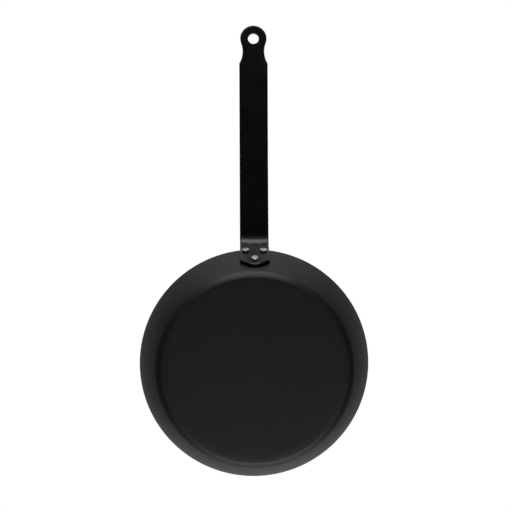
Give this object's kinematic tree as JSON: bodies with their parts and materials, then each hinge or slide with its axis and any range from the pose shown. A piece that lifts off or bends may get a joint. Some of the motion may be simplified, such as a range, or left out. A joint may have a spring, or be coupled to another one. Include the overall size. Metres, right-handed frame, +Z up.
{
  "type": "carbon steel frying pan",
  "caption": "Round shallow frying pan of black steel sheet with a flat base and straight flared wall, and a long riveted strip handle that ends in a hanging ring.",
  "frame": {"origin": "centre of the flat underside of the base", "axes": "+Z up out of the pan's mouth, +Y from the pan's centre along the handle, X across the handle"},
  "size_m": [0.24, 0.4831, 0.0963],
  "materials": {
    "blackened_steel": "satin",
    "coated_steel": "satin",
    "bare_steel": "satin"
  },
  "bodies": {
    "root": {"pan_body": "blackened_steel", "handle": "coated_steel", "rivet_upper_left": "bare_steel", "rivet_upper_right": "bare_steel", "rivet_lower": "bare_steel"}
  },
  "joints": []
}
